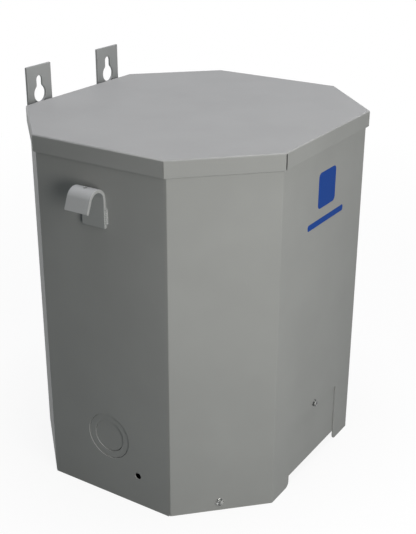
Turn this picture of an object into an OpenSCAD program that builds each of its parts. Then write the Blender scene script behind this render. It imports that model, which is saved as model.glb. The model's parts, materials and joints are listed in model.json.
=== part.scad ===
// Distribution transformer in an eight-sided sheet steel case: a potted core and coils above
// a wiring compartment, with lifting hooks on its sides and keyhole brackets on its back.
// Millimetres, +Z up, front towards -Y. The origin is under the middle of the whole
// object's box, level with the case's bottom edge.

/* [Case] */
// Width over the two side panels
body_w = 410; // [370:1:500]
// Depth from the front face to the back face
body_d = 375; // [315:1:460]
// Height from the bottom edge to the top of the lid
case_h = 470; // [390:1:580]
// Leg of each 45 degree corner, along the front and along the side
corner_cut = 95.5; // [75:0.5:110]
// Thickness of the sheet steel
sheet_t = 1.5; // [1.2:0.1:2.5]
// Width of the strip that laps behind each side panel
lap_len = 18; // [12:1:25]

/* [Lid] */
// How far the lid's flange stands out past the case
lid_overhang = 3.5; // [3:0.1:6]
// Height of the lid's flange, with the top plate
lid_flange_h = 21; // [15:1:30]
// Width of the open slit at each end of the front flange
lid_slit_w = 3; // [1.5:0.5:5]

/* [Wiring compartment] */
// Height of the potted block's underside
core_z = 110; // [108:1:160]
// Height of the bottom pan's upper face
pan_z = 24; // [20:1:36]
// Height of the bottom pan's down-turned flanges, with the plate
pan_flange_h = 18; // [12:1:19]
// Width of the cut-out in the front shell
cutout_w = 131; // [100:1:160]
// Height of the cut-out in the front shell
cutout_h = 88; // [80:1:90]
// Radius of the rounded corners at the foot of the cut-out
cutout_r = 8; // [3:1:12]
// Height of the wiring cover's bottom edge
cover_z = 12; // [6:1:18]
// How far the wiring cover laps behind the front shell, at its sides and top
cover_lap = 17; // [12:1:18]
// Depth of the wiring cover's in-turned foot
cover_foot = 16; // [8:1:24]
// Gap between the wiring cover and the bottom pan
cover_gap = 1; // [0.5:0.5:3]

/* [Knockouts and holes] */
// Radius of the larger conduit knockout
knockout_r = 31.25; // [25:0.25:32]
// Radius of the smaller conduit knockout inside it
inner_knockout_r = 21.85; // [14:0.05:22]
// Width of the sheared line round a knockout
shear_gap = 0.4; // [0.3:0.1:1]
// How far the ring is pushed in behind the panel, and the disc behind the ring
knockout_step = 1; // [0.5:0.1:1.1]
// Width of the bridges that hold a knockout
bridge_w = 4; // [2:0.5:6]
// Height of the knockouts' centre
knockout_z = 87; // [70:1:100]
// Radius of the earthing bolt's hole in each side panel
earth_hole_r = 4.5; // [3:0.5:6]
// Height of the earthing bolt's hole
earth_hole_z = 43; // [36:1:50]
// Distance of the earthing bolt's hole in front of the knockouts' centre
earth_hole_y = 44.5; // [40:0.5:55]

/* [Lifting hooks] */
// Width of a hook's strip
hook_w = 33; // [25:1:45]
// Thickness of a hook's strip
hook_t = 4; // [3:0.5:6]
// Outer radius of a hook's bend
hook_r = 18; // [14:1:24]
// Distance of the bend's centre below the top of the lid
hook_drop = 64; // [60:1:90]
// Length of the leg on the side panel, below the bend's centre
hook_wall_leg = 36; // [24:1:50]
// Length of the free leg, below the bend's centre
hook_free_leg = 7; // [4:1:15]
// Distance of the hooks behind the middle of the case
hook_y = 6.5; // [0:0.5:12]
// Radius of the small hole at the top of a hook
hook_hole_r = 2.5; // [1.5:0.5:4]

/* [Wall brackets] */
// Distance between the two brackets' middles
bracket_pitch = 145; // [120:1:160]
// Width of a bracket
bracket_w = 47; // [36:1:50]
// Thickness of the brackets and stand-offs
bracket_t = 3; // [2.5:0.5:4]
// Distance from the back face to the wall
standoff = 15; // [13:1:25]
// Height of a bracket's tab above the lid
tab_rise = 44.5; // [40:0.5:60]
// Radius of a tab's rounded corners
tab_corner_r = 1; // [1:0.5:6]
// Length of a bracket's leg on the back of the case
bracket_leg = 110; // [60:1:160]
// Radius of the keyhole's round part
keyhole_r = 11.1; // [8:0.1:13]
// Height of the keyhole's round part above the lid
keyhole_rise = 7; // [5:0.5:12]
// Width of the keyhole's slot
slot_w = 11; // [8:0.5:13]
// Height of the slot's top above the lid
slot_rise = 31; // [28:0.5:34]
// Width of a lower stand-off
standoff_w = 22; // [15:1:30]
// Length of a lower stand-off's leg on the case, and of its foot
standoff_leg = 32; // [20:1:50]
// Height of the lower stand-offs' bottom edge
standoff_z = 20; // [5:1:60]

/* [Hidden] */
$fn = 96;
// Cuts run this far past the faces they open
past = 1;
half_w = body_w / 2;
half_d = body_d / 2;
// A corner face is where |x| + |y| is this, measured from the middle of the case
corner_sum = half_w + half_d - corner_cut;
// Where a side panel's outer face meets the corner faces
side_half = corner_sum - half_w;
wall_h = case_h - sheet_t;
lid_flange_z = case_h - lid_flange_h;
// The middle of the case, in front of the middle of the whole object's box
case_y = (lid_overhang - standoff) / 2;
// How far a joggled strip steps out, and how much its bends take from its back face
joggle = standoff - bracket_t;
joggle_mitre = bracket_t * tan(22.5);
// The step passes behind the lid's flange, half in its height and half below
joggle_z = lid_flange_z - joggle / 2;
cover_w = cutout_w + 2 * cover_lap;
cover_top_z = cutout_h + cover_lap;

// The case's outline from above, moved in from its outer faces by four distances
function case_outline(side_in, front_in, back_in, corner_in) =
    let (a = half_w - side_in,
         f = half_d - front_in,
         b = half_d - back_in,
         k = corner_sum - corner_in * sqrt(2))
    [[f - k, -f], [k - f, -f], [a, a - k], [a, k - a],
     [k - b, b], [b - k, b], [-a, k - a], [-a, a - k]];

// Half of a bent shell's outline at the left, from its lap strip to its front corner.
// depth is how far in from the outer face it runs: 0 outside, sheet_t inside.
function shell_path(depth) =
    let (k = corner_sum - depth * sqrt(2),
         x = half_w - sheet_t - depth,
         f = half_d - depth)
    [[-x, lap_len - side_half], [-x, x - k], [f - k, -f]];

function mirrored(points) = [for (i = [len(points) - 1 : -1 : 0]) [-points[i][0], points[i][1]]];
function reversed(points) = [for (i = [len(points) - 1 : -1 : 0]) points[i]];

// Puts what is drawn about the middle of the case into the object's frame
module placed() {
    translate([0, case_y, 0]) children();
}

// Draws on the left, or mirrored on the right
module on_side(side) {
    placed() mirror([side == "right" ? 1 : 0, 0, 0]) children();
}

// A front face, two corner faces and two lap strips, bent from one sheet
module bent_shell() {
    outside = shell_path(0);
    inside = shell_path(sheet_t);
    linear_extrude(wall_h)
        polygon(concat(outside, mirrored(outside), reversed(concat(inside, mirrored(inside)))));
}

// The cut-out's shape: square above, and rounded outwards where it meets the bottom edge
module cutout_shape() {
    translate([-cutout_w / 2, -past]) square([cutout_w, cutout_h + past]);
    for (s = [-1, 1])
        difference() {
            translate([s * (cutout_w + cutout_r) / 2 - cutout_r / 2, -past])
                square([cutout_r, cutout_r + past]);
            translate([s * (cutout_w / 2 + cutout_r), cutout_r]) circle(cutout_r);
        }
}

module front_shell() {
    color("#8f908d") placed() difference() {
        bent_shell();
        translate([0, sheet_t + past - half_d, 0]) rotate([90, 0, 0])
            linear_extrude(sheet_t + 2 * past) cutout_shape();
    }
}

module rear_shell() {
    color("#8f908d") placed() mirror([0, 1, 0]) bent_shell();
}

// A flat panel that covers the shells' lap strips, with its knockout and earthing hole
module side_panel(side) {
    color("#5a605f") on_side(side) difference() {
        linear_extrude(wall_h)
            polygon([[-half_w, -side_half], [-half_w, side_half],
                     [sheet_t - half_w, side_half + sheet_t],
                     [sheet_t - half_w, -side_half - sheet_t]]);
        translate([-half_w - past, 0, knockout_z]) rotate([0, 90, 0])
            cylinder(r = knockout_r, h = sheet_t + 2 * past);
        translate([-half_w - past, -earth_hole_y, earth_hole_z]) rotate([0, 90, 0])
            cylinder(r = earth_hole_r, h = sheet_t + 2 * past);
    }
}

// A sheared disc or ring, pushed in from the panel's face by depth. It ends shear_gap
// inside r, except at its two bridges.
module knockout(r, hole_r, bridge_angle, depth) {
    translate([depth - half_w, 0, knockout_z]) rotate([0, 90, 0]) linear_extrude(sheet_t)
        difference() {
            union() {
                circle(r - shear_gap);
                intersection() {
                    circle(r);
                    rotate(bridge_angle) square([2 * r + past, bridge_w], center = true);
                }
            }
            if (hole_r > 0) circle(hole_r);
        }
}

module knockout_ring(side) {
    color("#5a605f") on_side(side)
        knockout(knockout_r, inner_knockout_r, 0, knockout_step);
}

module knockout_disc(side) {
    color("#5a605f") on_side(side)
        knockout(inner_knockout_r, 0, 90, 2 * knockout_step);
}

// A tray turned upside down, slit at the two ends of its front flange
module lid() {
    front_y = -half_d - lid_overhang;
    outside = case_outline(-lid_overhang, -lid_overhang, -lid_overhang, -lid_overhang);
    flange_in = sheet_t - lid_overhang;
    color("#a9aaac") placed() difference() {
        translate([0, 0, lid_flange_z]) linear_extrude(lid_flange_h) polygon(outside);
        translate([0, 0, lid_flange_z - past])
            linear_extrude(lid_flange_h - sheet_t + past)
            polygon(case_outline(flange_in, flange_in, flange_in, flange_in));
        for (s = [-1, 1])
            translate([s * (outside[1][0] - lid_slit_w / 2) - lid_slit_w / 2,
                       front_y - past, lid_flange_z - past])
                cube([lid_slit_w, sheet_t + 2 * past, lid_flange_h - sheet_t + past]);
    }
}

// A plate with its edges turned down, open along the front where the wiring cover stands
module bottom_pan() {
    front_in = 2 * sheet_t + cover_gap;
    color("#8f908d") placed() difference() {
        translate([0, 0, pan_z - pan_flange_h]) linear_extrude(pan_flange_h)
            polygon(case_outline(2 * sheet_t, front_in, sheet_t, sheet_t));
        translate([0, 0, pan_z - pan_flange_h - past])
            linear_extrude(pan_flange_h - sheet_t + past)
            polygon(case_outline(3 * sheet_t, front_in + sheet_t, 2 * sheet_t, 2 * sheet_t));
        translate([-cover_w / 2, -half_d, pan_z - pan_flange_h - past])
            cube([cover_w, front_in + sheet_t + past, pan_flange_h - sheet_t + past]);
    }
}

// The plate behind the front cut-out, with a foot turned in along its bottom edge
module wiring_cover() {
    color("#8f908d") placed() translate([-cover_w / 2, sheet_t - half_d, cover_z]) {
        cube([cover_w, sheet_t, cover_top_z - cover_z]);
        cube([cover_w, cover_foot, sheet_t]);
    }
}

// Core, coils and the compound cast round them
module potted_core() {
    color("#3a3c3b") placed() translate([0, 0, core_z]) linear_extrude(wall_h - core_z)
        polygon(case_outline(2 * sheet_t, sheet_t, sheet_t, sheet_t));
}

// A strip bent over into a downward hook, with a small hole at its top
module lifting_hook(side) {
    color("#8f9397") on_side(side) translate([-half_w - hook_r, hook_y, case_h - hook_drop])
        difference() {
            rotate([90, 0, 0]) linear_extrude(hook_w, center = true) {
                intersection() {
                    difference() {
                        circle(hook_r);
                        circle(hook_r - hook_t);
                    }
                    translate([-hook_r, 0]) square([2 * hook_r, hook_r]);
                }
                translate([hook_r - hook_t, -hook_wall_leg]) square([hook_t, hook_wall_leg]);
                translate([-hook_r, -hook_free_leg]) square([hook_t, hook_free_leg]);
            }
            cylinder(r = hook_hole_r, h = hook_r + past);
        }
}

// A strip in the Y-Z plane that steps away from the case, with its bend's foot at z = 0
module joggled_strip(width, wall_leg, free_leg) {
    rotate([90, 0, 90]) linear_extrude(width, center = true)
        polygon([[0, -wall_leg], [0, 0], [joggle, joggle], [joggle, joggle + free_leg],
                 [standoff, joggle + free_leg], [standoff, joggle - joggle_mitre],
                 [bracket_t, -joggle_mitre], [bracket_t, -wall_leg]]);
}

// What the two rounded corners take off a bracket's tab
module tab_corners() {
    for (s = [-1, 1])
        translate([s * (bracket_w / 2 - tab_corner_r), case_h + tab_rise - tab_corner_r])
            difference() {
                translate([s > 0 ? 0 : -tab_corner_r - past, 0])
                    square([tab_corner_r + past, tab_corner_r + past]);
                circle(tab_corner_r);
            }
}

module keyhole() {
    slot_top = case_h + slot_rise - slot_w / 2;
    translate([0, case_h + keyhole_rise]) circle(keyhole_r);
    translate([0, slot_top]) circle(slot_w / 2);
    translate([-slot_w / 2, case_h + keyhole_rise])
        square([slot_w, slot_top - case_h - keyhole_rise]);
}

module wall_bracket(side) {
    color("#8a8c8d") on_side(side) translate([-bracket_pitch / 2, half_d, 0])
        difference() {
            translate([0, 0, joggle_z])
                joggled_strip(bracket_w, bracket_leg, case_h + tab_rise - joggle_z - joggle);
            translate([0, standoff + past, 0]) rotate([90, 0, 0])
                linear_extrude(bracket_t + 2 * past) {
                    keyhole();
                    tab_corners();
                }
        }
}

// A short bracket upside down: its foot holds the lower end of the case off the wall
module lower_standoff(side) {
    color("#8a8c8d") on_side(side)
        translate([-bracket_pitch / 2, half_d, standoff_z + standoff_leg + joggle])
        mirror([0, 0, 1]) joggled_strip(standoff_w, standoff_leg, standoff_leg);
}

front_shell();
rear_shell();
side_panel("left");  // side_panel_left
side_panel("right");  // side_panel_right
lid();
bottom_pan();
wiring_cover();
potted_core();
knockout_ring("left");  // knockout_ring_left
knockout_ring("right");  // knockout_ring_right
knockout_disc("left");  // knockout_disc_left
knockout_disc("right");  // knockout_disc_right
lifting_hook("left");  // lifting_hook_left
lifting_hook("right");  // lifting_hook_right
wall_bracket("left");  // wall_bracket_left
wall_bracket("right");  // wall_bracket_right
lower_standoff("left");  // lower_standoff_left
lower_standoff("right");  // lower_standoff_right
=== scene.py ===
import json
import math

import bmesh
import bpy
from mathutils import Matrix, Vector
from mathutils.geometry import tessellate_polygon


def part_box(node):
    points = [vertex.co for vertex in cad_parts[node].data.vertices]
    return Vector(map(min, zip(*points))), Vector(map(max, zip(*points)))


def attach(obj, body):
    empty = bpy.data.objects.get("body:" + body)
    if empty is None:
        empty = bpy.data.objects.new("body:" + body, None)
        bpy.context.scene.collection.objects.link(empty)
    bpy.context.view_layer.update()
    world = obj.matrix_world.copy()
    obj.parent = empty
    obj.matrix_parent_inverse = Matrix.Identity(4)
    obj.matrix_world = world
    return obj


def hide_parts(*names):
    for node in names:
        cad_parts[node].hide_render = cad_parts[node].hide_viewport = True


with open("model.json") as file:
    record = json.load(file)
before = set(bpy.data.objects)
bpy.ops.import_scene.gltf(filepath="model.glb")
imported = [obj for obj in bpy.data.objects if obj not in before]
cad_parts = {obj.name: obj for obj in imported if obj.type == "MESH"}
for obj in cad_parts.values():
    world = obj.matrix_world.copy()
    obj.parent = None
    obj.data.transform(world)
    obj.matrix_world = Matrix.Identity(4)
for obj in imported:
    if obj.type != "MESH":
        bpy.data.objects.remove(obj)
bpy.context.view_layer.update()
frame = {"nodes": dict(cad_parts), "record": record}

# Pieces are drawn in millimetres, and made in metres
MM = 0.001


def box(node):
    """The lowest and highest corner of a CAD node, in millimetres."""
    low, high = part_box(node)
    return low / MM, high / MM


def mount(name):
    """A mount from the record."""
    return next(m for m in frame["record"]["mounts"] if m["name"] == name)


# ---------------------------------------------------------------- sizes from the CAD model

panel_low, panel_high = box("side_panel_left")
shell_low, shell_high = box("front_shell")
rear_high = box("rear_shell")[1]
lid_low, lid_high = box("lid")
pan_low, pan_high = box("bottom_pan")
cover_low, cover_high = box("wiring_cover")

SHEET = panel_high.x - panel_low.x
HALF_W = -panel_low.x
CASE_Y = (panel_low.y + panel_high.y) / 2
SIDE_HALF = (panel_high.y - panel_low.y) / 2 - SHEET
FRONT_Y = shell_low.y
BACK_Y = rear_high.y
HALF_D = (BACK_Y - FRONT_Y) / 2
# A corner face is where |x| + |y| is this, measured from the middle of the case
CORNER_SUM = HALF_W + SIDE_HALF
WALL_H = panel_high.z
OVERHANG = lid_high.x - HALF_W
# Strips that the shells turn inwards, for the side panels to lie on
SHELL_X = HALF_W - SHEET
LAP = 18.0

# Bends and cut edges of the sheet steel
FOLD_R = 3.2
COVER_BEND_R = 2.4
LID_BEND_R = 2.2
LAP_BEND_R = 2.0
SHEET_EDGE = 0.3
STRIP_EDGE = 0.45


# ---------------------------------------------------------------- sheet metal, cut and folded

def arc(x, y, radius, start, end, steps):
    """Points on an arc from one angle to another, in degrees, both ends included."""
    turns = [math.radians(start + (end - start) * i / steps) for i in range(steps + 1)]
    return [(x + radius * math.cos(t), y + radius * math.sin(t)) for t in turns]


def circle(x, y, radius, steps=64):
    """A hole's outline, clockwise."""
    return arc(x, y, radius, 360, 0, steps)[:-1]


def inset(loop, distance):
    """The loop moved to its own left, with mitred corners."""
    moved = []
    for i, point in enumerate(loop):
        here = Vector(point)
        one = (here - Vector(loop[i - 1])).normalized()
        two = (Vector(loop[(i + 1) % len(loop)]) - here).normalized()
        left_one, left_two = Vector((-one.y, one.x)), Vector((-two.y, two.x))
        share = distance / (1 + left_one.dot(left_two))
        moved.append(here + (left_one + left_two) * share)
    return moved


def rounded_rim(edge, thickness):
    """How far in, and how deep, a plate's rim runs from its face to its back."""
    turns = [math.radians(30 * i) for i in range(4)]
    front = [(edge * (1 - math.sin(t)), -edge * (1 - math.cos(t))) for t in turns]
    return front + [(d, -thickness - w) for d, w in reversed(front)]


# How near two points or two cuts may be before they are one
WELD_DISTANCE = 1e-4
CUT_DISTANCE = 1e-5
# Faces that meet at more than this, in degrees, keep a crisp edge
CRISP = 40


def plate(outline, holes, thickness, edge):
    """A flat plate. Its face is at w = 0 and its back at w = -thickness, and its cut edges
    are rounded. The outline runs anticlockwise, and holes run clockwise."""
    bm = bmesh.new()
    faces, backs = [], []
    for loop in [outline] + holes:
        rings = [[bm.verts.new((p.x, p.y, w)) for p in inset(loop, d)]
                 for d, w in rounded_rim(edge, thickness)]
        for one, two in zip(rings, rings[1:]):
            for i in range(len(loop)):
                bm.faces.new((one[i - 1], two[i - 1], two[i], one[i]))
        faces.append(rings[0])
        backs.append(rings[-1])
    for rings in (faces, backs):
        corners = [v for ring in rings for v in ring]
        for triangle in tessellate_polygon([[v.co for v in ring] for ring in rings]):
            bm.faces.new([corners[i] for i in triangle])
    return bm


def fold_line(corners, steps):
    """A folded sheet's outer face, as (length so far, point, outward direction) at each end
    of its straights and along its bends. Each corner is (a, b, bend radius), and outward is
    to the right of the way that they run."""
    points = [Vector(c[:2]) for c in corners]
    ways = [(q - p).normalized() for p, q in zip(points, points[1:])]
    here, length = points[0], 0.0
    line = [(length, here, Vector((ways[0].y, -ways[0].x)))]
    for corner, (_, _, radius), one, two in zip(points[1:], corners[1:], ways, ways[1:]):
        turn = math.atan2(one.cross(two), one.dot(two))
        start = corner - one * radius * math.tan(abs(turn) / 2)
        length += (start - here).length
        outward = Vector((one.y, -one.x))
        centre = start - outward * math.copysign(radius, turn)
        for i in range(steps + 1):
            out_i = outward.copy()
            out_i.rotate(Matrix.Rotation(turn * i / steps, 2))
            here = centre + out_i * math.copysign(radius, turn)
            line.append((length + radius * abs(turn) * i / steps, here, out_i))
        length += radius * abs(turn)
    length += (points[-1] - here).length
    line.append((length, points[-1], Vector((ways[-1].y, -ways[-1].x))))
    return line


def fold(bm, line, axes):
    """Folds a flat plate along its first axis, and turns it into the object's frame."""
    for length, _, _ in line[1:-1]:
        everything = bm.verts[:] + bm.edges[:] + bm.faces[:]
        bmesh.ops.bisect_plane(bm, geom=everything, dist=CUT_DISTANCE,
                               plane_co=(length, 0, 0), plane_no=(1, 0, 0))
    for vert in bm.verts:
        u, v, w = vert.co
        k = 0
        while k < len(line) - 2 and u > line[k + 1][0]:
            k += 1
        (u0, p0, n0), (u1, p1, n1) = line[k], line[k + 1]
        share = (u - u0) / (u1 - u0) if u1 > u0 else 0.0
        point = p0.lerp(p1, share) + n0.lerp(n1, share) * w
        vert.co = axes(point.x, point.y, v)
    return bm


def in_plan(a, b, v):
    """Folded as seen from above."""
    return a, b, v


def from_the_side(a, b, v):
    """Folded as seen from the side of the case."""
    return v, a, b


def from_the_front(a, b, v):
    """Folded as seen from the front of the case."""
    return a, v, b


def carved(bm, cutter):
    """The first solid with the second cut out of it."""
    made = []
    for name, source in (("stock", bm), ("cutter", cutter)):
        bmesh.ops.recalc_face_normals(source, faces=source.faces)
        mesh = bpy.data.meshes.new(name)
        source.to_mesh(mesh)
        source.free()
        made.append(bpy.data.objects.new(name, mesh))
        bpy.context.scene.collection.objects.link(made[-1])
    cut = made[0].modifiers.new("cut", "BOOLEAN")
    cut.object = made[1]
    cut.solver = "EXACT"
    done = bmesh.new()
    done.from_object(made[0], bpy.context.evaluated_depsgraph_get())
    for each in made:
        bpy.data.meshes.remove(each.data)
    return done


def block(low, high):
    """A plain block, for cutting with."""
    bm = bmesh.new()
    bmesh.ops.create_cube(bm, size=1)
    for vert in bm.verts:
        vert.co = [(a + b) / 2 + c * (b - a) for a, b, c in zip(low, high, vert.co)]
    return bm


def mirrored(bm, side):
    """Turns a left-hand piece into a right-hand one, if side says so."""
    if side == "right":
        bmesh.ops.scale(bm, vec=(-1, 1, 1), verts=bm.verts)
    return bm


def piece(name, bm, material, slot, *nodes):
    """Makes a shown piece of the drawn shape, in place of its CAD nodes."""
    bmesh.ops.remove_doubles(bm, verts=bm.verts, dist=WELD_DISTANCE)
    bmesh.ops.dissolve_degenerate(bm, edges=bm.edges, dist=CUT_DISTANCE)
    bmesh.ops.recalc_face_normals(bm, faces=bm.faces)
    mesh = bpy.data.meshes.new(name)
    bm.to_mesh(mesh)
    bm.free()
    mesh.transform(Matrix.Scale(MM, 4))
    mesh.polygons.foreach_set("use_smooth", [True] * len(mesh.polygons))
    mesh.set_sharp_from_angle(angle=math.radians(CRISP))
    mesh.materials.append(material)
    made = bpy.data.objects.new(name, mesh)
    bpy.context.scene.collection.objects.link(made)
    flat = made.modifiers.new("flat_faces", "WEIGHTED_NORMAL")
    flat.keep_sharp = True
    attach(made, "root")
    if nodes:
        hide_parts(*nodes)
    return made


# ---------------------------------------------------------------- materials

def colour(code):
    """An sRGB hex colour as linear RGBA."""
    parts = [int(code[i:i + 2], 16) / 255 for i in (1, 3, 5)]
    return tuple(c / 12.92 if c <= 0.04045 else ((c + 0.055) / 1.055) ** 2.4
                 for c in parts) + (1.0,)


def add(tree, kind, sockets=(), **settings):
    """Adds a node with its settings. Each socket gets a value, or a link from another node."""
    node = tree.nodes.new("ShaderNode" + kind)
    for name, value in settings.items():
        setattr(node, name, value)
    for name, value in dict(sockets).items():
        if isinstance(value, bpy.types.NodeSocket):
            tree.links.new(value, node.inputs[name])
        else:
            node.inputs[name].default_value = value
    return node


def new_material(name):
    """An empty material with its surface output, and the object's own coordinates."""
    material = bpy.data.materials.new(name)
    material.use_nodes = True
    material.node_tree.nodes.clear()
    tree = material.node_tree
    place = add(tree, "TexCoord").outputs["Object"]
    return material, tree, place


def per_mm(size):
    """The scale at which a pattern repeats about every so many millimetres."""
    return 1 / (size * MM)


def add_surface(tree, sockets):
    """The shader that every finish ends in."""
    shader = add(tree, "BsdfPrincipled", sockets)
    add(tree, "OutputMaterial", {"Surface": shader.outputs["BSDF"]})


def powder_coat(name, thin, thick):
    """Polyester powder, sprayed and baked on sheet steel: a low-gloss film with a faint
    orange peel. It is a little lighter where it is thick, over a hand's width."""
    material, tree, place = new_material(name)
    film = add(tree, "TexNoise", {"Vector": place, "Scale": per_mm(70), "Detail": 2.0})
    grain = add(tree, "TexNoise", {"Vector": place, "Scale": per_mm(1.6), "Detail": 1.0})
    spread = add(tree, "MapRange", {"Value": film.outputs["Fac"], "From Min": 0.35,
                                    "From Max": 0.65})
    mixed = add(tree, "Mix", {"Factor": spread.outputs["Result"], "A": colour(thin),
                              "B": colour(thick)}, data_type="RGBA")
    dull = add(tree, "MapRange", {"Value": grain.outputs["Fac"], "From Min": 0.3,
                                  "From Max": 0.7, "To Min": 0.52, "To Max": 0.6})
    # Orange peel is about 1 to 2 mm from crest to crest, and is drawn at 3 mm to show
    peel = add(tree, "TexNoise", {"Vector": place, "Scale": per_mm(3), "Detail": 1.0})
    bump = add(tree, "Bump", {"Height": peel.outputs["Fac"], "Strength": 0.35,
                              "Distance": 0.03 * MM})
    # The powder's matting agent takes most of the mirror light away
    add_surface(tree, {"Base Color": mixed.outputs["Result"], "IOR": 1.5,
                       "Specular IOR Level": 0.14, "Roughness": dull.outputs["Result"],
                       "Normal": bump.outputs["Normal"]})
    return material


def zinc_plate():
    """Clear zinc on a cold-headed screw, its gloss dulled by handling: a metal whose colour is
    clouded from dark to light grey as painted shade and painted highlight, with fine tumbling
    marks."""
    material, tree, place = new_material("clear_zinc_with_painted_shade")
    cloud = add(tree, "TexNoise", {"Vector": place, "Scale": per_mm(2.2), "Detail": 3.0})
    # The dark and light patches in the screw's colour are painted shade and painted highlight
    painted_shade_patch = add(tree, "MapRange", {"Value": cloud.outputs["Fac"], "From Min": 0.42,
                                   "From Max": 0.58})
    mixed = add(tree, "Mix", {"Factor": painted_shade_patch.outputs["Result"], "A": colour("#3f4245"),
                              "B": colour("#b9bab7")}, data_type="RGBA")
    dull = add(tree, "MapRange", {"Value": cloud.outputs["Fac"], "From Min": 0.3,
                                  "From Max": 0.7, "To Min": 0.35, "To Max": 0.22})
    marks = add(tree, "TexNoise", {"Vector": place, "Scale": per_mm(0.5), "Detail": 2.0})
    bump = add(tree, "Bump", {"Height": marks.outputs["Fac"], "Strength": 0.3,
                              "Distance": 0.03 * MM})
    add_surface(tree, {"Base Color": mixed.outputs["Result"], "Metallic": 1.0,
                       "Roughness": dull.outputs["Result"], "Normal": bump.outputs["Normal"]})
    return material


def screen_ink():
    """Blue epoxy ink, screen printed on the paint: flat and even, with the mesh's faint
    grain."""
    material, tree, place = new_material("blue_screen_ink")
    grain = add(tree, "TexNoise", {"Vector": place, "Scale": per_mm(1.2), "Detail": 2.0})
    mixed = add(tree, "Mix", {"Factor": grain.outputs["Fac"], "A": colour("#06398a"),
                              "B": colour("#0c4494")}, data_type="RGBA")
    bump = add(tree, "Bump", {"Height": grain.outputs["Fac"], "Strength": 0.2,
                              "Distance": 0.02 * MM})
    add_surface(tree, {"Base Color": mixed.outputs["Result"], "Roughness": 0.6, "IOR": 1.45,
                       "Specular IOR Level": 0.15, "Normal": bump.outputs["Normal"]})
    return material


def sand_and_resin():
    """Silica sand in polyester resin, cast dark: a coarse, dull, stony mass with grains of
    one to two millimetres."""
    material, tree, place = new_material("sand_and_resin")
    grains = add(tree, "TexVoronoi", {"Vector": place, "Scale": per_mm(1.8)})
    lumps = add(tree, "TexNoise", {"Vector": place, "Scale": per_mm(12), "Detail": 4.0})
    mixed = add(tree, "Mix", {"Factor": lumps.outputs["Fac"], "A": colour("#2c2d2c"),
                              "B": colour("#4b4a46")}, data_type="RGBA")
    speck = add(tree, "Mix", {"Factor": grains.outputs["Distance"],
                              "A": mixed.outputs["Result"], "B": colour("#5d5a53")},
                data_type="RGBA")
    bump = add(tree, "Bump", {"Height": grains.outputs["Distance"], "Strength": 0.7,
                              "Distance": 0.5 * MM})
    add_surface(tree, {"Base Color": speck.outputs["Result"], "Roughness": 0.85,
                       "Normal": bump.outputs["Normal"]})
    return material


CASE_PAINT = powder_coat("light_grey_powder_coat", "#9c9d9c", "#9fa09f")
STRIP_PAINT = powder_coat("light_grey_powder_coat_on_strip", "#a2a4a4", "#a6a8a8")
ZINC = zinc_plate()
INK = screen_ink()
RESIN = sand_and_resin()


# ---------------------------------------------------------------- the case's walls

# The cover reaches behind the front face by so much, at the cut-out's sides and top
COVER_W = cover_high.x - cover_low.x
COVER_LAP = 17.0
CUTOUT_W = COVER_W - 2 * COVER_LAP
CUTOUT_H = cover_high.z - COVER_LAP
CUTOUT_FOOT_R = 8.0
CUTOUT_TOP_R = 1.0


def shell_line():
    """The folded line of a shell, from its left lap strip to its right one, seen from
    above about the middle of the case."""
    front_x = CORNER_SUM - HALF_D
    left = [(-SHELL_X, LAP - SIDE_HALF, 0), (-SHELL_X, SHELL_X - CORNER_SUM, LAP_BEND_R),
            (-front_x, -HALF_D, FOLD_R)]
    return fold_line(left + [(-x, y, r) for x, y, r in reversed(left)], 8)


def front_shell():
    """The front face and its two corner faces, folded from one sheet round the cut-out."""
    line = shell_line()
    length = line[-1][0]
    cut = (length - CUTOUT_W) / 2
    foot, top = CUTOUT_FOOT_R, CUTOUT_TOP_R
    left = (arc(cut - foot, foot, foot, -90, 0, 10)
            + arc(cut + top, CUTOUT_H - top, top, 180, 90, 4))
    right = [(length - u, v) for u, v in reversed(left)]
    outline = [(0, 0)] + left + right + [(length, 0), (length, WALL_H), (0, WALL_H)]
    bm = fold(plate(outline, [], SHEET, SHEET_EDGE), line, in_plan)
    bmesh.ops.translate(bm, vec=(0, CASE_Y, 0), verts=bm.verts)
    return piece("front_shell_sheet", bm, CASE_PAINT, "case_paint", "front_shell")


def rear_shell():
    """The back face and its two corner faces."""
    line = shell_line()
    length = line[-1][0]
    outline = [(0, 0), (length, 0), (length, WALL_H), (0, WALL_H)]
    bm = fold(plate(outline, [], SHEET, SHEET_EDGE), line, in_plan)
    bmesh.ops.scale(bm, vec=(1, -1, 1), verts=bm.verts)
    bmesh.ops.translate(bm, vec=(0, CASE_Y, 0), verts=bm.verts)
    return piece("rear_shell_sheet", bm, CASE_PAINT, "case_paint", "rear_shell")


ring_low, ring_high = box("knockout_ring_left")
disc_low, disc_high = box("knockout_disc_left")
KNOCKOUT_R = (ring_high.z - ring_low.z) / 2
INNER_KNOCKOUT_R = (disc_high.y - disc_low.y) / 2
KNOCKOUT_Z = (ring_low.z + ring_high.z) / 2
RING_DEPTH = ring_low.x - panel_low.x
DISC_DEPTH = disc_low.x - panel_low.x
SHEAR_GAP = 0.4
SHEAR_EDGE = 0.15
BRIDGE_W = 4.0
earthing = mount("earthing_hole_left")
EARTH_Y = earthing["pos_m"][1] / MM - CASE_Y
EARTH_Z = earthing["pos_m"][2] / MM
EARTH_R = earthing["dims"]["r_mm"]


def on_left_wall(bm, depth):
    """Stands a plate on the left side, so many millimetres behind the panel's face."""
    for vert in bm.verts:
        u, v, w = vert.co
        vert.co = (-HALF_W + depth - w, CASE_Y + u, v)
    return bm


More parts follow.
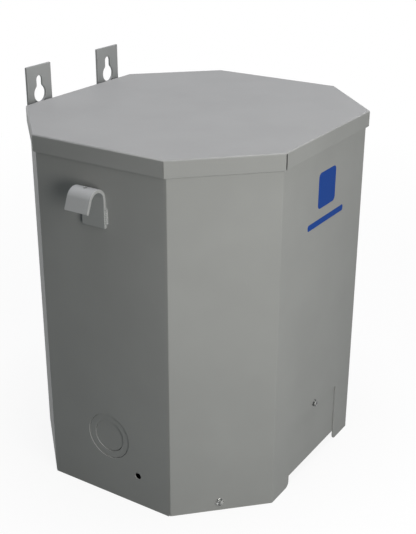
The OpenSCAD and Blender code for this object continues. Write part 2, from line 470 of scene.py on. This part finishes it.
def side_panel(side):
    """A flat panel whose two long edges are cut at 45 degrees, flush with the corner faces."""
    outline = [(-SIDE_HALF, 0), (SIDE_HALF, 0), (SIDE_HALF, WALL_H), (-SIDE_HALF, WALL_H)]
    holes = [circle(0, KNOCKOUT_Z, KNOCKOUT_R, 96), circle(EARTH_Y, EARTH_Z, EARTH_R, 40)]
    bm = plate(outline, holes, SHEET, SHEET_EDGE)
    for vert in bm.verts:
        if abs(vert.co.x) > SIDE_HALF - 1:
            vert.co.x -= math.copysign(vert.co.z, vert.co.x)
    return piece("side_panel_sheet_" + side, mirrored(on_left_wall(bm, 0), side), CASE_PAINT,
                 "case_paint", "side_panel_" + side)


def sheared(radius, hole_radius, first_bridge, depth):
    """A knockout, cut free all round but for two bridges."""
    gap = math.degrees(BRIDGE_W / 2 / radius)
    outline = []
    for start in (first_bridge, first_bridge + 180):
        outline += arc(0, KNOCKOUT_Z, radius, start - gap, start + gap, 4)
        outline += arc(0, KNOCKOUT_Z, radius - SHEAR_GAP, start + gap, start + 180 - gap, 44)
    holes = [circle(0, KNOCKOUT_Z, hole_radius, 80)] if hole_radius else []
    return on_left_wall(plate(outline, holes, SHEET, SHEAR_EDGE), depth)


def knockouts(side):
    """The two conduit knockouts in a side panel, one inside the other, each half sheared
    through and pushed in a little."""
    ring = sheared(KNOCKOUT_R, INNER_KNOCKOUT_R, 90, RING_DEPTH)
    piece("knockout_ring_sheet_" + side, mirrored(ring, side), CASE_PAINT, "case_paint",
          "knockout_ring_" + side)
    disc = sheared(INNER_KNOCKOUT_R, 0, 0, DISC_DEPTH)
    piece("knockout_disc_sheet_" + side, mirrored(disc, side), CASE_PAINT, "case_paint",
          "knockout_disc_" + side)


def wiring_cover():
    """The plate behind the front cut-out, with its foot turned in at the bottom."""
    y = cover_low.y
    line = fold_line([(y, cover_high.z, 0), (y, cover_low.z, COVER_BEND_R),
                      (cover_high.y, cover_low.z, 0)], 8)
    half = COVER_W / 2
    outline = [(0, -half), (line[-1][0], -half), (line[-1][0], half), (0, half)]
    bm = fold(plate(outline, [], SHEET, SHEET_EDGE), line, from_the_side)
    return piece("wiring_cover_sheet", bm, CASE_PAINT, "case_paint", "wiring_cover")


# ---------------------------------------------------------------- lid and bottom pan

def tray(outline, face_z, drop, bend, gaps):
    """A plate with its edges turned down. The outline runs anticlockwise, and gaps says how
    far each side's flange stops short of its two corners."""
    low = face_z - drop
    turns = [math.radians(15 * i) for i in range(7)]
    skin = [[(SHEET_EDGE if outer else SHEET - SHEET_EDGE, low),
             (0 if outer else SHEET, low + SHEET_EDGE)]
            + [(bend - r * math.cos(t), face_z - bend + r * math.sin(t)) for t in turns]
            for outer, r in ((True, bend), (False, bend - SHEET))]
    flange_points = 3
    bm = bmesh.new()
    count = len(outline)
    mitres = {d: inset(outline, d) for d, _ in skin[0] + skin[1]}
    for i in range(count):
        j = (i + 1) % count
        way = (Vector(outline[j]) - Vector(outline[i])).normalized()
        grid = []
        for profile in skin:
            rows = []
            for k, (d, z) in enumerate(profile):
                pull = gaps[i] if k < flange_points else (0, 0)
                ends = (mitres[d][i] + way * pull[0], mitres[d][j] - way * pull[1])
                rows.append([bm.verts.new((p.x, p.y, z)) for p in ends])
            grid.append(rows)
        for rows in grid:
            for one, two in zip(rows, rows[1:]):
                bm.faces.new((one[0], one[1], two[1], two[0]))
        bm.faces.new((grid[0][0][0], grid[0][0][1], grid[1][0][1], grid[1][0][0]))
        for end in (0, 1):
            for k in range(flange_points):
                bm.faces.new((grid[0][k][end], grid[0][k + 1][end],
                              grid[1][k + 1][end], grid[1][k][end]))
    for d, z in (skin[0][-1], skin[1][-1]):
        bm.faces.new([bm.verts.new((p.x, p.y, z)) for p in mitres[d]])
    return bm


def octagon(side_out, front_out, back_out, corner_out):
    """The case's outline from above, moved out by four distances, starting with the front."""
    a, f, b = HALF_W + side_out, HALF_D + front_out, HALF_D + back_out
    k = CORNER_SUM + corner_out * math.sqrt(2)
    points = [(f - k, -f), (k - f, -f), (a, a - k), (a, k - a), (k - b, b), (b - k, b),
              (-a, k - a), (-a, a - k)]
    return [(x, y + CASE_Y) for x, y in points]


def lid():
    """The lid, with a butt seam at each corner of its flange and an open slit at each end of
    the front one."""
    slit, seam = 3.0, 0.22
    gaps = [(slit, slit), (0, seam)] + [(seam, seam)] * 5 + [(seam, 0)]
    bm = tray(octagon(OVERHANG, OVERHANG, OVERHANG, OVERHANG), lid_high.z,
              lid_high.z - lid_low.z, LID_BEND_R, gaps)
    return piece("lid_sheet", bm, CASE_PAINT, "case_paint", "lid")


def bottom_pan():
    """The pan that closes the case from below, open along the front where the cover is."""
    front_in = HALF_D - (CASE_Y - pan_low.y)
    seam = 0.5
    bm = tray(octagon(-2 * SHEET, -front_in, -SHEET, -SHEET), pan_high.z,
              pan_high.z - pan_low.z, LID_BEND_R, [(seam, seam)] * 8)
    bmesh.ops.remove_doubles(bm, verts=bm.verts, dist=WELD_DISTANCE)
    opening = block((cover_low.x, pan_low.y - 1, pan_low.z - 1),
                    (cover_high.x, pan_low.y + SHEET + 1, pan_high.z - SHEET))
    return piece("bottom_pan_sheet", carved(bm, opening), CASE_PAINT, "case_paint",
                 "bottom_pan")


# ---------------------------------------------------------------- hooks, brackets, stand-offs

BEAD = 3.0
BEAD_RIPPLE = 2.4
BEAD_TAPER = 2.5


def weld_bead(bm, wall_x, edge_y, out, low, high):
    """A rippled fillet weld up one side of a hook's leg, tapered at its two ends. Its root
    lies a little inside the leg and the panel."""
    rows = 40
    root = (-0.6, -0.2)
    rings = []
    for i in range(rows + 1):
        z = low + (high - low) * i / rows
        swell = 1 + 0.1 * math.sin(2 * math.pi * (z - low) / BEAD_RIPPLE)
        taper = min(1.0, math.sqrt(min(z - low, high - z) / BEAD_TAPER + 0.04))
        rings.append([bm.verts.new((wall_x - b, edge_y + out * a, z))
                      for a, b in arc(*root, BEAD * swell * taper, -4, 94, 8) + [root]])
    for one, two in zip(rings, rings[1:]):
        for k in range(len(one)):
            bm.faces.new((one[k - 1], one[k], two[k], two[k - 1]))
    bm.faces.new(rings[0])
    bm.faces.new(rings[-1])


HOOK_T = 4.0
HOOK_R = 15.0
HOOK_FLARE = 22.5
HOOK_TIP = 16.0
HOOK_HOLE_R = 2.5


def lifting_hook(side):
    """A strip bent over into a downward hook with a flared tip, and a small hole at its top.
    Its leg is welded to the panel up both sides."""
    low, high = box("lifting_hook_left")
    radius, flare = HOOK_R, math.radians(HOOK_FLARE)
    centre = Vector((high.x - radius, high.z - radius))
    # The bend is drawn as two turns, which meet where the strip is level
    half_turn = (math.pi / 2 - flare) / 2
    foot = centre + radius * Vector((-math.cos(flare), math.sin(flare)))
    tip = foot + HOOK_TIP * Vector((-math.sin(flare), -math.cos(flare)))
    wall_foot = low.z + 3.5
    over = centre + Vector((-radius * math.tan(half_turn), radius))
    line = fold_line([(high.x, wall_foot, 0), (high.x, high.z, radius), (*over, radius),
                      (*tip, 0)], 14)
    outline = [(0, low.y), (line[-1][0], low.y), (line[-1][0], high.y), (0, high.y)]
    top = (centre.y - wall_foot) + math.pi / 2 * radius
    hole = circle(top, (low.y + high.y) / 2, HOOK_HOLE_R, 32)
    bm = fold(plate(outline, [hole], HOOK_T, STRIP_EDGE), line, from_the_front)
    for y, out in ((low.y, -1), (high.y, 1)):
        weld_bead(bm, high.x, y, out, wall_foot + 3, wall_foot + 25)
    return piece("lifting_hook_strip_" + side, mirrored(bm, side), STRIP_PAINT,
                 "bracket_paint", "lifting_hook_" + side)


STRIP_T = 3.0
keyholes = mount("wall_keyholes")
KEYHOLE_Z = keyholes["pos_m"][2] / MM
KEYHOLE_R = keyholes["dims"]["hole_r_mm"]
SLOT_HALF = 5.5
# The slot ends this far above the lid
SLOT_RISE = 31.0
STANDOFF_BEND = 32.0


def joggled(low, high, bend_z, outward):
    """The folded line of a strip along its wall side, from its leg on the case to its tab.
    Its two bends of 45 degrees have the same inner radius."""
    mitre = STRIP_T * math.tan(math.radians(22.5))
    inner = 2.5
    step = outward - STRIP_T
    leg, tab = BACK_Y + STRIP_T, BACK_Y + outward
    return fold_line([(leg, low, 0), (leg, bend_z - mitre, inner),
                      (tab, bend_z + step - mitre, inner + STRIP_T), (tab, high, 0)], 8)


def keyhole(u, v):
    """A keyhole's outline round the middle of its round part, clockwise: the neck meets the
    round part in small outward curves."""
    fillet = 4.0
    x = SLOT_HALF + fillet
    rise = math.sqrt((KEYHOLE_R + fillet) ** 2 - x ** 2)
    lean = math.degrees(math.atan2(rise, x))
    top = lid_high.z + SLOT_RISE - SLOT_HALF - KEYHOLE_Z
    right = (arc(0, top, SLOT_HALF, 90, 0, 10)
             + arc(x, rise, fillet, 180, 180 + lean, 6)
             + arc(0, 0, KEYHOLE_R, lean, -90, 24)[1:])
    left = [(-a, b) for a, b in reversed(right[1:-1])]
    # Height runs along the strip, so the outline is turned on its side
    return [(u + b, v + a) for a, b in right + left][::-1]


def wall_bracket(side):
    """A keyhole bracket: its leg is welded to the back, and its tab stands off the case."""
    low, high = box("wall_bracket_left")
    line = joggled(low.z, high.z, lid_low.z - (high.y - low.y - STRIP_T) / 2,
                   high.y - low.y)
    length = line[-1][0]
    # The tab's corners are just broken
    r = 1.0
    outline = ([(0, low.x)] + arc(length - r, low.x + r, r, -90, 0, 4)
               + arc(length - r, high.x - r, r, 0, 90, 4) + [(0, high.x)])
    hole = keyhole(length - (high.z - KEYHOLE_Z), (low.x + high.x) / 2)
    bm = fold(plate(outline, [hole], STRIP_T, STRIP_EDGE), line, from_the_side)
    return piece("wall_bracket_strip_" + side, mirrored(bm, side), STRIP_PAINT,
                 "bracket_paint", "wall_bracket_" + side)


def lower_standoff(side):
    """A short bracket, upside down, that holds the foot of the case off the wall."""
    low, high = box("lower_standoff_left")
    top_up = low.z + high.z
    line = joggled(low.z, high.z, low.z + STANDOFF_BEND, high.y - low.y)
    outline = [(0, low.x), (line[-1][0], low.x), (line[-1][0], high.x), (0, high.x)]
    bm = fold(plate(outline, [], STRIP_T, STRIP_EDGE), line, from_the_side)
    for vert in bm.verts:
        vert.co.z = top_up - vert.co.z
    return piece("lower_standoff_strip_" + side, mirrored(bm, side), STRIP_PAINT,
                 "bracket_paint", "lower_standoff_" + side)


# ---------------------------------------------------------------- screws and mark

def ring_of(bm, radius, z, steps):
    """A ring of points, for a turned shape."""
    return [bm.verts.new((x, y, z)) for x, y in arc(0, 0, radius, 0, 360, steps)[:-1]]


def lathe(profile, steps):
    """A turned solid. The profile is (radius, height) from its foot to its top."""
    bm = bmesh.new()
    rings = [ring_of(bm, radius, z, steps) for radius, z in profile]
    for one, two in zip(rings, rings[1:]):
        for i in range(steps):
            bm.faces.new((one[i - 1], one[i], two[i], two[i - 1]))
    bm.faces.new(rings[0])
    bm.faces.new(rings[-1])
    return bm


def screw_head():
    """A slotted hexagon washer head, standing on z = 0."""
    across, height = 7.94, 3.3
    slot_half, slot_depth = 0.75, 1.2
    corner = across / math.sqrt(3)
    hexagon = arc(0, 0, corner, 0, 360, 6)[:-1]
    head = plate(hexagon, [], height - 0.4, 0.25)
    bmesh.ops.translate(head, vec=(0, 0, height), verts=head.verts)
    # The forging die chamfers the hexagon's corners
    chamfer = lathe([(corner + 3, -1), (corner + 3, height + 1), (3.4, height + 0.3),
                     (corner + 0.12, height - 0.75), (corner + 0.12, -1)], 48)
    head = carved(head, chamfer)
    slot = block((-6, -slot_half, height - slot_depth), (6, slot_half, height + 1))
    head = carved(head, slot)
    washer = lathe([(4.9, 0), (5.05, 0.15), (5.05, 0.6), (4.85, 0.8), (4.2, 0.95)], 48)
    whole = bmesh.new()
    for part in (head, washer):
        mesh = bpy.data.meshes.new("head_part")
        part.to_mesh(mesh)
        part.free()
        whole.from_mesh(mesh)
        bpy.data.meshes.remove(mesh)
    return whole


def screw(name, place, facing, turn):
    """A cover screw whose head stands on the place given, its slot turned by so much."""
    bm = screw_head()
    stand = Vector(facing).to_track_quat("Z", "Y").to_matrix().to_4x4()
    bm.transform(Matrix.Translation(place) @ stand @ Matrix.Rotation(math.radians(turn), 4, "Z"))
    return piece(name, bm, ZINC, "zinc_screw")


COVER_SCREW_Z = 94.0
PAN_SCREW_Z = 13.0
PAN_SCREW_SHIFT = 1.8


def cover_screws():
    """One screw through the wiring cover's top, and one low on each front corner face, a
    little towards the side panel from the face's middle."""
    screw("cover_screw_front", (0, FRONT_Y, COVER_SCREW_Z), (0, -1, 0), 35)
    x = (HALF_W + CORNER_SUM - HALF_D) / 2 + PAN_SCREW_SHIFT
    y = CASE_Y - (HALF_D + SIDE_HALF) / 2 + PAN_SCREW_SHIFT
    for side, sign in (("left", -1), ("right", 1)):
        screw("cover_screw_" + side, (sign * x, y, PAN_SCREW_Z), (sign, -1, 0), 65)


# Left, right, bottom and top of each printed shape, and its corner radius
SQUARE = (-19, 27, 374, 420), 6
BAR = (-44, 52, 353, 361), 3
INK_T = 0.12
INK_EDGE = 0.04


def plain_mark():
    """A plain rounded square with a bar under it, screen printed on the front face."""
    for name, ((x0, x1, z0, z1), r) in (("blue_mark_square", SQUARE), ("blue_mark_bar", BAR)):
        outline = (arc(x0 + r, z0 + r, r, 180, 270, 8) + arc(x1 - r, z0 + r, r, 270, 360, 8)
                   + arc(x1 - r, z1 - r, r, 0, 90, 8) + arc(x0 + r, z1 - r, r, 90, 180, 8))
        bm = plate(outline, [], INK_T, INK_EDGE)
        for vert in bm.verts:
            u, v, w = vert.co
            vert.co = (u, FRONT_Y - INK_T - w, v)
        piece(name, bm, INK, "blue_mark")


# ---------------------------------------------------------------- floor, light and camera

def background_rays(tree):
    """1 for a ray that the camera sees straight, mirrored or through glass, 0 for the rest."""
    rays = add(tree, "LightPath").outputs
    either = add(tree, "Math", {0: rays["Is Camera Ray"], 1: rays["Is Glossy Ray"]},
                 operation="MAXIMUM")
    return add(tree, "Math", {0: either.outputs["Value"], 1: rays["Is Transmission Ray"]},
               operation="MAXIMUM").outputs["Value"]


def paper(name, thrown_back, whitened):
    """White paper for the camera, with the object's shadow on it, and a plain grey for the
    light that it throws back. Close to the object it is whitened by so much, and further
    than 1.6 m away it is all white."""
    material, tree, place = new_material(name)
    away = add(tree, "VectorMath", {0: place}, operation="LENGTH")
    fade = add(tree, "MapRange", {"Value": away.outputs["Value"], "From Min": 0.5,
                                  "From Max": 1.6, "To Min": whitened, "To Max": 1.0})
    lit = add(tree, "BsdfDiffuse", {"Color": colour("#f6f6f6")})
    white = add(tree, "Emission", {"Color": colour("#ffffff"), "Strength": 1.0})
    seen = add(tree, "MixShader", {0: fade.outputs["Result"], 1: lit.outputs["BSDF"],
                                   2: white.outputs["Emission"]})
    bounce = add(tree, "BsdfDiffuse", {"Color": colour(thrown_back)})
    mixed = add(tree, "MixShader", {0: background_rays(tree), 1: bounce.outputs["BSDF"],
                                    2: seen.outputs["Shader"]})
    add(tree, "OutputMaterial", {"Surface": mixed.outputs["Shader"]})
    return material


def floor():
    """A wide plain floor, level with the case's bottom edge."""
    bm = bmesh.new()
    half = 12.0
    bm.faces.new([bm.verts.new((x, y, 0)) for x, y in ((-half, -half), (half, -half),
                                                       (half, half), (-half, half))])
    mesh = bpy.data.meshes.new("floor")
    bm.to_mesh(mesh)
    bm.free()
    mesh.materials.append(paper("white_paper", "#5f696c", 0.9))
    made = bpy.data.objects.new("floor", mesh)
    bpy.context.scene.collection.objects.link(made)


def surroundings(ambient):
    """A white background, and a dim even light from all round."""
    world = bpy.data.worlds.new("studio")
    bpy.context.scene.world = world
    world.use_nodes = True
    tree = world.node_tree
    tree.nodes.clear()
    dim = add(tree, "Background", {"Color": colour("#dcf6fa"), "Strength": ambient})
    white = add(tree, "Background", {"Color": colour("#ffffff"), "Strength": 1.0})
    mixed = add(tree, "MixShader", {0: background_rays(tree), 1: dim.outputs["Background"],
                                    2: white.outputs["Background"]})
    add(tree, "OutputWorld", {"Surface": mixed.outputs["Shader"]})


def way_out(azimuth, elevation):
    """The way from the object to a place round it. Azimuth 0 is in front and 90 to the
    right, in degrees."""
    a, e = math.radians(azimuth), math.radians(elevation)
    return Vector((math.sin(a) * math.cos(e), -math.cos(a) * math.cos(e), math.sin(e)))


# What the lamps are turned to, in metres
CASE_MIDDLE = Vector((0, 0, 0.25))


def softbox(name, azimuth, elevation, distance, size, power, tint):
    """A square softbox, turned to the middle of the case. Distance and size are in metres,
    and power is in watts."""
    back = way_out(azimuth, elevation)
    lamp = bpy.data.lights.new(name, "AREA")
    lamp.shape = "SQUARE"
    lamp.size = size
    lamp.energy = power
    lamp.color = colour(tint)[:3]
    made = bpy.data.objects.new(name, lamp)
    bpy.context.scene.collection.objects.link(made)
    made.location = CASE_MIDDLE + back * distance
    made.rotation_euler = back.to_track_quat("Z", "Y").to_euler()


# Where the camera stands, in metres, how it is turned, in degrees, and its lens
CAMERA_PLACE = (-1.04703, -0.69145, 0.78988)
CAMERA_AZIMUTH = -57.478
CAMERA_ELEVATION = 23.421
CAMERA_ROLL = 0.242
FILM_MM = 36.0
LENS_MM = 67.128


def camera():
    """Above and to the left of the front, a metre and a half away."""
    lens = bpy.data.cameras.new("camera")
    lens.sensor_width = FILM_MM
    lens.lens = LENS_MM
    made = bpy.data.objects.new("camera", lens)
    bpy.context.scene.collection.objects.link(made)
    bpy.context.scene.camera = made
    back, roll = way_out(CAMERA_AZIMUTH, CAMERA_ELEVATION), math.radians(CAMERA_ROLL)
    right = Vector((0, 0, 1)).cross(back).normalized()
    up = back.cross(right)
    turned = (right * math.cos(roll) + up * math.sin(roll),
              up * math.cos(roll) - right * math.sin(roll), back)
    made.matrix_world = (Matrix.Translation(CAMERA_PLACE)
                         @ Matrix(turned).transposed().to_4x4())


camera()
floor()
surroundings(0.04)
softbox("top", 0, 88, 2.4, 1.2, 44, "#fcfaff")
softbox("key", -36, 10, 1.3, 0.5, 6.7, "#fffdf8")
softbox("key_high", -25, 30, 1.3, 0.5, 3.1, "#fffdf8")
softbox("front_fill", -8, 8, 2.4, 0.9, 3.4, "#fffcf6")
softbox("right_fill", 90, 6, 2.4, 1.2, 12, "#ffffff")
softbox("back_fill", 173, 4, 2.4, 1.2, 17, "#ffffff")

front_shell()
rear_shell()
wiring_cover()
lid()
bottom_pan()
for hand in ("left", "right"):
    side_panel(hand)
    knockouts(hand)
    lifting_hook(hand)
    wall_bracket(hand)
    lower_standoff(hand)
cover_screws()
plain_mark()

core = frame["nodes"]["potted_core"]
core.material_slots[0].material = RESIN

bpy.context.scene.view_settings.view_transform = "Standard"
